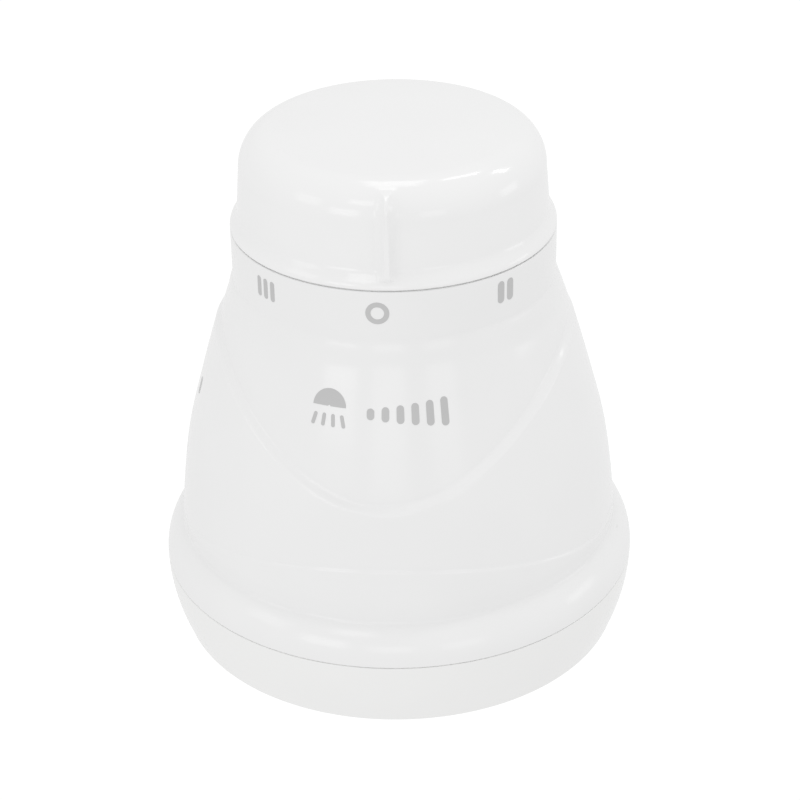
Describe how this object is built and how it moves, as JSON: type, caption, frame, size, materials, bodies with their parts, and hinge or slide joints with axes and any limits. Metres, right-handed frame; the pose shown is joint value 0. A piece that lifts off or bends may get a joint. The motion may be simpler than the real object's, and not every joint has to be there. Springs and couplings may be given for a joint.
{
  "type": "electric shower head",
  "caption": "Bell-shaped instantaneous electric shower head with a rotary heat selector knob on top, a bayonet spray cover and a rear inlet pipe.",
  "frame": {"origin": "centre of the flat spray face, on the axis that the knob and the spray cover turn about", "axes": "+Z from the spray face up to the knob, -Y the front with the pointer and the middle mark, +Y the way the inlet pipe leaves"},
  "size_m": [0.1352, 0.1896, 0.1504],
  "materials": {
    "housing_white": "moulded high-gloss white",
    "cover_white": "moulded high-gloss white",
    "knob_white": "moulded high-gloss white",
    "pipe_white": "moulded gloss white",
    "natural_nylon": "natural nylon, slightly translucent looking",
    "chamber_plastic": "grey heat-resistant moulding",
    "black_phenolic": "black switch moulding",
    "black_rubber": "matt",
    "silicone": "red silicone rubber",
    "brass": "machined brass",
    "contact_silver": "silver-faced contact",
    "zinc_steel": "zinc plated",
    "nichrome": "oxidised resistance wire",
    "lead_insulation": "PVC wire insulation"
  },
  "bodies": {
    "housing": {"body_shell": "housing_white", "cover_seal": "black_rubber", "heating_chamber": "chamber_plastic", "element_carrier": "natural_nylon", "heating_coil": "nichrome", "earth_electrode": "brass", "flow_diffuser": "natural_nylon", "diffuser_screw": "zinc_steel", "diaphragm": "silicone", "diaphragm_clamp": "natural_nylon", "inlet_pipe": "pipe_white", "pipe_oring": "black_rubber", "pipe_clip": "zinc_steel", "flow_restrictor": "natural_nylon", "inlet_strainer": "zinc_steel", "inlet_washer": "black_rubber", "bridge_spring": "zinc_steel", "switch_base": "black_phenolic", "shaft_oring": "black_rubber", "detent_leaf": "zinc_steel", "wire_gland": "black_rubber", "terminal_block": "black_phenolic", "fixed_contact_left": "contact_silver", "fixed_contact_right": "contact_silver", "selector_contact_low": "contact_silver", "selector_contact_high": "contact_silver", "terminal_pin_1": "brass", "pin_nut_1": "brass", "terminal_screw_1": "brass", "lead_wire_1": "lead_insulation", "terminal_pin_2": "brass", "pin_nut_2": "brass", "terminal_screw_2": "brass", "lead_wire_2": "lead_insulation", "terminal_pin_3": "brass", "pin_nut_3": "brass", "terminal_screw_3": "brass", "lead_wire_3": "lead_insulation", "chamber_screw_1": "zinc_steel", "switch_screw_1": "zinc_steel", "chamber_screw_2": "zinc_steel", "switch_screw_2": "zinc_steel", "chamber_screw_3": "zinc_steel", "switch_screw_3": "zinc_steel", "chamber_screw_4": "zinc_steel", "switch_screw_4": "zinc_steel", "clamp_screw_1": "zinc_steel", "clamp_screw_2": "zinc_steel"},
    "selector": {"control_knob": "knob_white", "selector_shaft": "natural_nylon", "selector_cam": "black_phenolic", "wiper_contact": "brass", "shaft_circlip": "zinc_steel"},
    "flow_bridge": {"pressure_disc": "natural_nylon", "contact_bridge": "brass", "moving_contact_left": "contact_silver", "moving_contact_right": "contact_silver"},
    "cover": {"spray_cover": "cover_white"}
  },
  "joints": [
    {"name": "knob_turn", "type": "hinge", "parent": "housing", "child": "selector", "pos_m": [0, 0, 0.1216], "axis": [0, 0, 1], "range_deg": [-45, 45]},
    {"name": "flow_switch", "type": "slide", "parent": "housing", "child": "flow_bridge", "axis": [0, 0, 1], "range_m": [0, 0.003], "stiffness_N_per_m": 400, "springref_m": -0.002, "deforming": ["bridge_spring", "diaphragm"]},
    {"name": "cover_turn", "type": "hinge", "parent": "housing", "child": "cover", "pos_m": [0, 0, 0], "axis": [0, 0, 1], "range_deg": [0, 30]}
  ]
}
